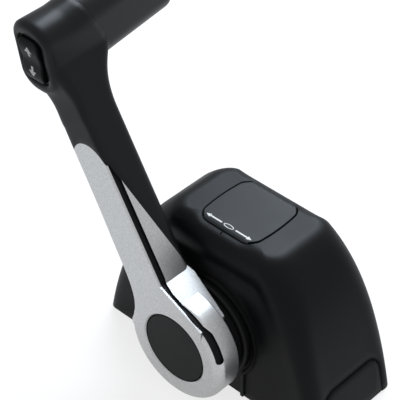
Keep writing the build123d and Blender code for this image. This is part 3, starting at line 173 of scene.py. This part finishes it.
def finish(name, dark, light, smooth, rough, metallic=0.0, grain=1.6, depth=0.02, mottle=0.03,
           worn_and_shaded_edge=None, edge_radius=0.6, specular=0.2, fleck=0.0, seam_shade=None, seam_shade_reach=0.0,
           soften=0.0, crisp_above=None):
    """A surface whose colour runs between dark and light and whose roughness runs between smooth
    and rough with the mottling, grained to depth millimetres, with edges turned toward one colour
    as wear and as painted light: a highlight where that colour is lighter, shade where it is darker.
    fleck is the share of the colour's change that follows the fine grain instead, the seam colour
    that of the shade painted into seams and grooves, and soften the radius that its edges look
    rounded to, up to the height crisp_above."""
    made = bpy.data.materials.new(name)
    made.use_nodes = True
    tree, links = made.node_tree.nodes, made.node_tree.links
    shader = tree["Principled BSDF"]
    shader.inputs["Metallic"].default_value = metallic
    shader.inputs["Specular IOR Level"].default_value = 0.5 if metallic > 0.5 else specular
    surface = tree.new("ShaderNodeGroup")
    surface.node_tree = GRAIN
    surface.inputs["Grain per mm"].default_value = grain
    surface.inputs["Mottle per mm"].default_value = mottle
    colour = tree.new("ShaderNodeMix")
    colour.data_type = "RGBA"
    colour.inputs["A"].default_value, colour.inputs["B"].default_value = (*dark, 1), (*light, 1)
    share = tree.new("ShaderNodeMix")
    share.inputs["Factor"].default_value = fleck
    links.new(surface.outputs["Mottle"], share.inputs["A"])
    links.new(surface.outputs["Height"], share.inputs["B"])
    links.new(share.outputs["Result"], colour.inputs["Factor"])
    last_colour = colour.outputs["Result"]
    if worn_and_shaded_edge:
        edge = tree.new("ShaderNodeGroup")
        edge.node_tree = WEAR_AND_SHADING
        edge.inputs["Radius"].default_value = edge_radius * MM
        worn_and_shaded = tree.new("ShaderNodeMix")
        worn_and_shaded.data_type = "RGBA"
        worn_and_shaded.inputs["B"].default_value = (*worn_and_shaded_edge, 1)
        links.new(edge.outputs["Mask"], worn_and_shaded.inputs["Factor"])
        links.new(last_colour, worn_and_shaded.inputs["A"])
        last_colour = worn_and_shaded.outputs["Result"]
    if seam_shade:
        seam = tree.new("ShaderNodeGroup")
        seam.node_tree = SHADE_IN_SEAMS
        seam.inputs["Reach"].default_value = seam_shade_reach * MM
        seam_shaded = tree.new("ShaderNodeMix")
        seam_shaded.data_type = "RGBA"
        seam_shaded.inputs["B"].default_value = (*seam_shade, 1)
        links.new(seam.outputs["Mask"], seam_shaded.inputs["Factor"])
        links.new(last_colour, seam_shaded.inputs["A"])
        last_colour = seam_shaded.outputs["Result"]
    links.new(last_colour, shader.inputs["Base Color"])
    dulled = tree.new("ShaderNodeMapRange")
    dulled.inputs["From Min"].default_value = MOTTLE_LOW
    dulled.inputs["From Max"].default_value = MOTTLE_HIGH
    dulled.inputs["To Min"].default_value, dulled.inputs["To Max"].default_value = smooth, rough
    links.new(surface.outputs["Mottle"], dulled.inputs["Value"])
    links.new(dulled.outputs["Result"], shader.inputs["Roughness"])
    bump = tree.new("ShaderNodeBump")
    bump.inputs["Strength"].default_value = BUMP_STRENGTH
    bump.inputs["Distance"].default_value = depth * MM
    links.new(surface.outputs["Height"], bump.inputs["Height"])
    links.new(bump.outputs["Normal"], shader.inputs["Normal"])
    if soften:
        rolled = tree.new("ShaderNodeBevel")
        rolled.samples = BEVEL_SAMPLES
        rolled.inputs["Radius"].default_value = soften * MM
        links.new(rolled.outputs["Normal"], bump.inputs["Normal"])
        if crisp_above:
            place = tree.new("ShaderNodeTexCoord")
            height = tree.new("ShaderNodeSeparateXYZ")
            below = tree.new("ShaderNodeMapRange")
            below.inputs["From Min"].default_value = crisp_above * MM
            below.inputs["From Max"].default_value = (crisp_above - ROLL_DROP) * MM
            blend = tree.new("ShaderNodeMix")
            blend.data_type = "VECTOR"
            plain = tree.new("ShaderNodeNewGeometry")
            links.new(place.outputs["Object"], height.inputs["Vector"])
            links.new(height.outputs["Z"], below.inputs["Value"])
            links.new(below.outputs["Result"], blend.inputs["Factor"])
            links.new(plain.outputs["Normal"], blend.inputs["A"])
            links.new(rolled.outputs["Normal"], blend.inputs["B"])
            links.new(blend.outputs["Result"], bump.inputs["Normal"])
    return made


def dress(material, *names):
    """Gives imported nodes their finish."""
    for name in names:
        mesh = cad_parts[name].data
        mesh.materials.clear()
        mesh.materials.append(material)


# The lighter colour on the housing's edges is wear and a painted highlight.
housing_plastic = finish("housing_plastic", (0.0038, 0.0041, 0.0048), (0.0052, 0.0056, 0.0064),
                         0.36, 0.44, grain=1.3, depth=0.012, worn_and_shaded_edge=(0.020, 0.021, 0.023),
                         edge_radius=0.5, specular=0.17, soften=8.0, crisp_above=112.0)
dress(housing_plastic, "main_cover", "aft_screw_cover", "forward_screw_cover")


# ---- Indicator plate and its marks ----
# A separate smooth plate dropped into the crown of the housing. Its port edge carries the printed
# direction marks: an arrow for ahead, an oval for neutral, an arrow for astern.

plate_plastic = finish("plate_plastic", (0.0045, 0.0050, 0.0058), (0.0056, 0.0062, 0.0070),
                       0.32, 0.38, grain=3.0, depth=0.006, specular=0.16)
dress(plate_plastic, "top_plate")

PRINT_THICKNESS, PRINT_LIFT = 0.06, 0.02


def print_on(marks, name, carrier, body):
    """Joins flat marks, lays them on a node's surface and gives the ink its thickness."""
    bpy.ops.object.select_all(action="DESELECT")
    for mark in marks:
        mark.select_set(True)
    bpy.context.view_layer.objects.active = marks[0]
    bpy.ops.object.join()
    ink = bpy.context.object
    ink.name = name
    bpy.ops.object.transform_apply(location=True, rotation=True, scale=True)
    bpy.ops.object.mode_set(mode="EDIT")
    bpy.ops.mesh.select_all(action="SELECT")
    bpy.ops.mesh.quads_convert_to_tris()
    bpy.ops.mesh.subdivide(number_cuts=3)
    bpy.ops.object.mode_set(mode="OBJECT")
    wrap = ink.modifiers.new("lay", "SHRINKWRAP")
    wrap.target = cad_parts[carrier]
    wrap.offset = PRINT_LIFT * MM
    bpy.ops.object.modifier_apply(modifier="lay")
    thick = ink.modifiers.new("ink", "SOLIDIFY")
    thick.thickness, thick.offset = PRINT_THICKNESS * MM, 1
    bpy.ops.object.modifier_apply(modifier="ink")
    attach(ink, body)
    return ink


def flat_bar(x, y, z, width, length):
    bpy.ops.mesh.primitive_plane_add(size=1, location=(x * MM, y * MM, z * MM))
    bar = bpy.context.object
    bar.scale = (width * MM, length * MM, 1)
    return bar


def flat_arrowhead(x, y, z, width, length, forward):
    bpy.ops.mesh.primitive_circle_add(vertices=3, radius=1, fill_type="NGON",
                                      location=(x * MM, y * MM, z * MM))
    head = bpy.context.object
    head.scale = (width / sqrt(3) * MM, length / 1.5 * MM * (1 if forward else -1), 1)
    return head


white_ink = finish("white_ink", (0.72, 0.72, 0.71), (0.80, 0.80, 0.79), 0.45, 0.6,
                   grain=4, depth=0.004)
MARK_X, MARK_Z = -19.0, 113.0
SHAFT_PLACE, SHAFT_WIDTH, SHAFT_LENGTH = 10.4, 1.1, 9.8
POINT_PLACE, POINT_WIDTH, POINT_LENGTH = 15.9, 3.0, 3.4
OVAL_HALF_WIDTH, OVAL_HALF_LENGTH, OVAL_LINE = 1.6, 3.9, 0.5
marks = []
for way in (1, -1):
    marks.append(flat_bar(MARK_X, way * SHAFT_PLACE, MARK_Z, SHAFT_WIDTH, SHAFT_LENGTH))
    marks.append(flat_arrowhead(MARK_X, way * POINT_PLACE, MARK_Z, POINT_WIDTH, POINT_LENGTH,
                                way > 0))
bpy.ops.mesh.primitive_circle_add(vertices=48, radius=1, fill_type="NGON",
                                  location=(MARK_X * MM, 0, MARK_Z * MM))
oval = bpy.context.object
oval.scale = (OVAL_HALF_WIDTH * MM, OVAL_HALF_LENGTH * MM, 1)
bpy.ops.object.transform_apply(location=False, rotation=False, scale=True)
bpy.ops.object.mode_set(mode="EDIT")
bpy.ops.mesh.select_all(action="SELECT")
bpy.ops.mesh.inset(thickness=OVAL_LINE * MM)
bpy.ops.mesh.delete(type="FACE")
bpy.ops.object.mode_set(mode="OBJECT")
marks.append(oval)
direction_marks = print_on(marks, "direction_marks", "top_plate", "base")
direction_marks.data.materials.append(white_ink)


# ---- Painted shade in the shut lines ----
# A soft black cord lies in the gap round the indicator plate, and a thinner one round each screw
# cover, as painted shade that darkens the shut lines. A black tick printed beside the plate marks
# neutral.

CORNER_STEPS, SIDE_CUTS, CORD_ROUNDNESS = 10, 5, 2


def shut_line(name, half_width, half_length, corner):
    """Closed loop of edges: a rectangle in XY with rounded corners."""
    bpy.ops.mesh.primitive_plane_add(size=2, location=(0, 0, 0))
    loop = bpy.context.object
    loop.name = name
    loop.scale = (half_width * MM, half_length * MM, 1)
    bpy.ops.object.transform_apply(location=True, rotation=True, scale=True)
    bpy.ops.object.mode_set(mode="EDIT")
    bpy.ops.mesh.select_all(action="SELECT")
    bpy.ops.mesh.bevel(offset=corner * MM, segments=CORNER_STEPS, affect="VERTICES")
    bpy.ops.mesh.select_all(action="SELECT")
    bpy.ops.mesh.delete(type="ONLY_FACE")
    bpy.ops.mesh.select_all(action="SELECT")
    bpy.ops.mesh.subdivide(number_cuts=SIDE_CUTS)
    bpy.ops.object.mode_set(mode="OBJECT")
    return loop


def lay_shade_cord(loop, carrier, radius, body):
    """Draws a loop onto a node's edge, thickens it to a cord and gives it a body."""
    bpy.ops.object.select_all(action="DESELECT")
    loop.select_set(True)
    bpy.context.view_layer.objects.active = loop
    wrap = loop.modifiers.new("lay", "SHRINKWRAP")
    wrap.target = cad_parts[carrier]
    bpy.ops.object.modifier_apply(modifier="lay")
    bpy.ops.object.convert(target="CURVE")
    cord = bpy.context.object
    cord.data.bevel_depth = radius * MM
    cord.data.bevel_resolution = CORD_ROUNDNESS
    cord.data.use_fill_caps = True
    bpy.ops.object.convert(target="MESH")
    bpy.ops.object.shade_smooth()
    cord = bpy.context.object
    cord.data.materials.append(shut_line_shade)
    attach(cord, body)
    return cord


# Matte black cords of painted shade, standing in for the shadow in the shut lines.
shut_line_shade = finish("shut_line_shade", (0.0012, 0.0012, 0.0014), (0.0020, 0.0020, 0.0022),
                     0.6, 0.75, grain=3, depth=0.01, specular=0.08)
PLATE_HALF_WIDTH, PLATE_HALF_LENGTH, PLATE_CORNER, PLATE_BOW = 23.6, 21.2, 9.2, 2.2
PLATE_TOP, PLATE_ROLL, PLATE_SHADE_R = 112.8, 2.0, 0.5
plate_seal = shut_line("plate_seal", PLATE_HALF_WIDTH, PLATE_HALF_LENGTH, PLATE_CORNER)
for vertex in plate_seal.data.vertices:
    across = vertex.co.x / (PLATE_HALF_WIDTH * MM)
    along = vertex.co.y / (PLATE_HALF_LENGTH * MM)
    vertex.co.y += PLATE_BOW * MM * (1 - across**2) * along**3
    vertex.co.z = (PLATE_TOP - PLATE_ROLL * abs(across)**6) * MM
lay_shade_cord(plate_seal, "top_plate", PLATE_SHADE_R, "base")

COVER_HALF_WIDTH, COVER_TOP, COVER_CORNER, COVER_FOOT = 26.9, 29.9, 10.9, -1.0
SKIRT_Y, SKIRT_SLOPE, FOOT_Y, COVER_SHADE_R = 90.6, 0.19, 90.49, 0.3
for side, cover in ((-1, "aft_screw_cover"), (1, "forward_screw_cover")):
    cover_shade_cord = shut_line(cover + "_seal", COVER_HALF_WIDTH, COVER_TOP, COVER_CORNER)
    bpy.ops.object.mode_set(mode="EDIT")
    bpy.ops.mesh.select_all(action="DESELECT")
    bpy.ops.object.mode_set(mode="OBJECT")
    for vertex in cover_shade_cord.data.vertices:
        vertex.select = vertex.co.y < COVER_FOOT * MM
    bpy.ops.object.mode_set(mode="EDIT")
    bpy.ops.mesh.delete(type="VERT")
    bpy.ops.object.mode_set(mode="OBJECT")
    for vertex in cover_shade_cord.data.vertices:
        height = vertex.co.y
        vertex.co.y = side * (SKIRT_Y * MM - SKIRT_SLOPE * height)
        vertex.co.z = height
    cover_shade_cord = lay_shade_cord(cover_shade_cord, cover, COVER_SHADE_R, "base")
    # The cord's two ends lie flush with the foot of the skirt.
    for vertex in cover_shade_cord.data.vertices:
        vertex.co.y = max(-FOOT_Y * MM, min(FOOT_Y * MM, vertex.co.y))

TICK_X, TICK_Y, TICK_Z, TICK_LENGTH, TICK_WIDTH = -25.6, 0.6, 111.5, 2.4, 0.9
tick = flat_bar(TICK_X, TICK_Y, TICK_Z, TICK_LENGTH, TICK_WIDTH)
neutral_tick = print_on([tick], "neutral_tick", "main_cover", "base")
black_ink = finish("black_ink", (0.0012, 0.0012, 0.0014), (0.0020, 0.0020, 0.0022),
                   0.6, 0.75, grain=4, depth=0.004, specular=0.08)
neutral_tick.data.materials.append(black_ink)


# ---- Lever boss ----
# The fixed black collar that carries the shaft, moulded in plastic with a fine spark texture. Its
# felt ring lies between collar and hub and keeps grit out.

# The lighter colour on the collar's edges is wear and a painted highlight on its rims.
boss_plastic = finish("boss_plastic", (0.005, 0.0053, 0.0062), (0.0075, 0.0078, 0.0088),
                      0.45, 0.58, grain=2.2, depth=0.05, worn_and_shaded_edge=(0.060, 0.061, 0.064),
                      edge_radius=0.4, specular=0.25)
dress(boss_plastic, "port_boss")
seal_felt = finish("seal_felt", (0.02, 0.02, 0.02), (0.05, 0.05, 0.05), 0.9, 1.0,
                   grain=5, depth=0.15)
dress(seal_felt, "hub_seal")


# ---- Lever casting ----
# Die-cast hub and blade in a satin silver finish with a very fine metallic flake, its edges
# painted a duller grey as wear and as painted shade over their highlight, and painted shade in its
# groove and seams.

OPEN_SKY, CLOSED_SKY = 0.90, 0.60


def shade_in_seams_group():
    """Mask that is white deep in grooves and seams, where little light comes, for the shade painted
    there.
    """
    group = float_group("painted_seam_shade", ("Reach",), ("Mask",))
    tree = group.nodes
    entry, leave = tree.new("NodeGroupInput"), tree.new("NodeGroupOutput")
    hollow = tree.new("ShaderNodeAmbientOcclusion")
    hollow.samples = 8
    spread = tree.new("ShaderNodeMapRange")
    spread.inputs["From Min"].default_value = OPEN_SKY
    spread.inputs["From Max"].default_value = CLOSED_SKY
    group.links.new(entry.outputs["Reach"], hollow.inputs["Distance"])
    group.links.new(hollow.outputs["AO"], spread.inputs["Value"])
    group.links.new(spread.outputs["Result"], leave.inputs["Mask"])
    return group


SHADE_IN_SEAMS = shade_in_seams_group()
# The silver's edges are painted a duller grey, as wear and as painted shade over their highlight,
# and painted shade darkens its groove and seams.
silver = finish("satin_silver", (0.55, 0.556, 0.565), (1.0, 1.0, 1.0), 0.31, 0.38,
                metallic=0.95, grain=0.9, depth=0.03, mottle=0.06, worn_and_shaded_edge=(0.45, 0.45, 0.46),
                edge_radius=0.3, fleck=0.85, seam_shade=(0.006, 0.0063, 0.007), seam_shade_reach=3.0)
dress(silver, "lever_casting")


# ---- Groove inlay, arm, head and grip ----
# The inlay is a dark rubber strip pressed into the groove. Arm and T-head are one satin black
# moulding over the casting, and the grip is a soft-touch sleeve over its core.

inlay_rubber = finish("inlay_rubber", (0.004, 0.0045, 0.0055), (0.006, 0.0068, 0.008),
                      0.5, 0.65, grain=2, depth=0.03)
dress(inlay_rubber, "groove_inlay")
# The lighter colour on the moulding's edges is wear and a painted highlight.
handle_plastic = finish("handle_plastic", (0.0034, 0.0038, 0.0048), (0.0048, 0.0053, 0.0064),
                        0.32, 0.40, grain=1.5, depth=0.012, worn_and_shaded_edge=(0.016, 0.0165, 0.018),
                        specular=0.30, soften=6.0)
dress(handle_plastic, "handle_moulding")
grip_rubber = finish("grip_rubber", (0.0040, 0.0044, 0.0052), (0.0054, 0.0060, 0.0070), 0.28, 0.36,
                     grain=2.4, depth=0.02, specular=0.4)
dress(grip_rubber, "hand_grip")


# ---- Trim switch ----
# A satin black rocker on its pin, in a dark bezel let into the end of the head, with the switch
# itself behind it. Its two ends are printed with plain arrows.

# The lighter colour on the rocker's edges is wear and a painted highlight.
rocker_plastic = finish("rocker_plastic", (0.0045, 0.0048, 0.0054), (0.0065, 0.0069, 0.0077),
                        0.38, 0.46, grain=2.4, depth=0.03, worn_and_shaded_edge=(0.022, 0.022, 0.023),
                        specular=0.12)
dress(rocker_plastic, "trim_rocker")

# The rocker's own frame: X aft, Y up its face, Z out to port. The bar it sits in climbs 8.5 degrees.
HEAD_END = Vector((-75.0, 101.5, 212.8)) * MM
BAR_RISE = radians(8.5)
rocker_frame = Matrix(((0, -sin(BAR_RISE), -cos(BAR_RISE)), (-1, 0, 0),
                       (0, cos(BAR_RISE), -sin(BAR_RISE))))
rocker_frame = Matrix.Translation(HEAD_END) @ rocker_frame.to_4x4()
TAIL_PLACE, TAIL_WIDTH, TAIL_LENGTH = 5.4, 1.8, 3.6
TIP_PLACE, TIP_WIDTH, TIP_LENGTH = 8.4, 6.0, 4.2
ABOVE_FACE = 2.4
arrows = []
for up in (1, -1):
    arrows.append(flat_bar(0, up * TAIL_PLACE, ABOVE_FACE, TAIL_WIDTH, TAIL_LENGTH))
    arrows.append(flat_arrowhead(0, up * TIP_PLACE, ABOVE_FACE, TIP_WIDTH, TIP_LENGTH, up > 0))
bpy.context.view_layer.update()
for arrow in arrows:
    arrow.matrix_world = rocker_frame @ arrow.matrix_world
rocker_arrows = print_on(arrows, "rocker_arrows", "trim_rocker", "rocker")
rocker_arrows.data.materials.append(white_ink)
bezel_plastic = finish("bezel_plastic", (0.003, 0.003, 0.0032), (0.004, 0.004, 0.0044), 0.3, 0.4,
                       grain=3, depth=0.01)
dress(bezel_plastic, "switch_bezel")
switch_plastic = finish("switch_plastic", (0.05, 0.05, 0.055), (0.08, 0.08, 0.085), 0.5, 0.6,
                        grain=2, depth=0.03)
dress(switch_plastic, "switch_body", "neutral_switch")


# ---- Hub button ----
# The satin black cap in the hub, moulded in plastic and seated on the push rod. It is pushed in to
# run the engine up without engaging a gear.

# The lighter colour on the cap's edges is wear and a painted highlight.
button_plastic = finish("button_plastic", (0.013, 0.0132, 0.0136), (0.016, 0.0162, 0.0167),
                        0.42, 0.5, grain=2.0, depth=0.03, worn_and_shaded_edge=(0.022, 0.022, 0.023))
dress(button_plastic, "hub_button")


# ---- Base plate, gasket and clamps ----
# The base is a painted casting that bolts down through a foam rubber gasket. The cable clamps are
# moulded nylon, each pinched shut by one screw.

base_paint = finish("base_paint", (0.16, 0.165, 0.17), (0.21, 0.215, 0.22), 0.45, 0.6,
                    metallic=0.3, grain=1.2, depth=0.06)
dress(base_paint, "base_plate")
gasket_rubber = finish("gasket_rubber", (0.012, 0.012, 0.013), (0.02, 0.02, 0.021), 0.8, 0.95,
                       grain=2.5, depth=0.1)
dress(gasket_rubber, "base_gasket")
clamp_nylon = finish("clamp_nylon", (0.03, 0.03, 0.032), (0.045, 0.045, 0.048), 0.45, 0.6,
                     grain=1.6, depth=0.04)
dress(clamp_nylon, "shift_cable_clamp", "throttle_cable_clamp")


# ---- Frame, gears, shafts and small metal ----
# Zinc-plated pressed plates screwed to the base, machined gears on ground shafts, sintered bronze
# bushes for the main shaft, stainless screws and wire springs.

plated_steel = finish("plated_steel", (0.50, 0.50, 0.47), (0.62, 0.62, 0.60), 0.30, 0.48,
                      metallic=1.0, grain=0.8, depth=0.01, mottle=0.15)
dress(plated_steel, "port_frame", "starboard_frame", "frame_spacers", "friction_bridge",
      "detent_tube", "shift_arm", "throttle_arm")
gear_steel = finish("gear_steel", (0.34, 0.34, 0.34), (0.46, 0.46, 0.46), 0.22, 0.42, metallic=1.0,
                    grain=1.5, depth=0.01, mottle=0.2)
dress(gear_steel, "drive_gear", "detent_wheel", "shift_gear", "throttle_gear")
ground_steel = finish("ground_steel", (0.56, 0.57, 0.58), (0.64, 0.65, 0.66), 0.16, 0.26,
                      metallic=1.0, grain=3.0, depth=0.004, mottle=0.2)
dress(ground_steel, "main_shaft", "push_rod", "rocker_pin", "detent_ball", "shift_shaft",
      "throttle_shaft")
stainless = finish("stainless", (0.60, 0.60, 0.60), (0.70, 0.70, 0.69), 0.20, 0.32, metallic=1.0,
                   grain=2.5, depth=0.006, mottle=0.2)
dress(stainless, "cover_screws", "frame_screws", "friction_screw", "clamp_screws", "lever_screws",
      "shaft_nut", "shaft_washer", "shift_cable_pin", "throttle_cable_pin")
spring_steel = finish("spring_steel", (0.38, 0.38, 0.39), (0.50, 0.50, 0.51), 0.25, 0.40,
                      metallic=1.0, grain=3.0, depth=0.004, mottle=0.3)
dress(spring_steel, "shaft_clip", "detent_spring", "button_spring", "shift_shaft_rings",
      "throttle_shaft_rings")
bronze = finish("sintered_bronze", (0.45, 0.30, 0.14), (0.58, 0.42, 0.22), 0.35, 0.5, metallic=1.0,
                grain=3.0, depth=0.03, mottle=0.3)
dress(bronze, "port_bush", "starboard_bush", "friction_shoe")


bpy.ops.object.select_all(action="DESELECT")
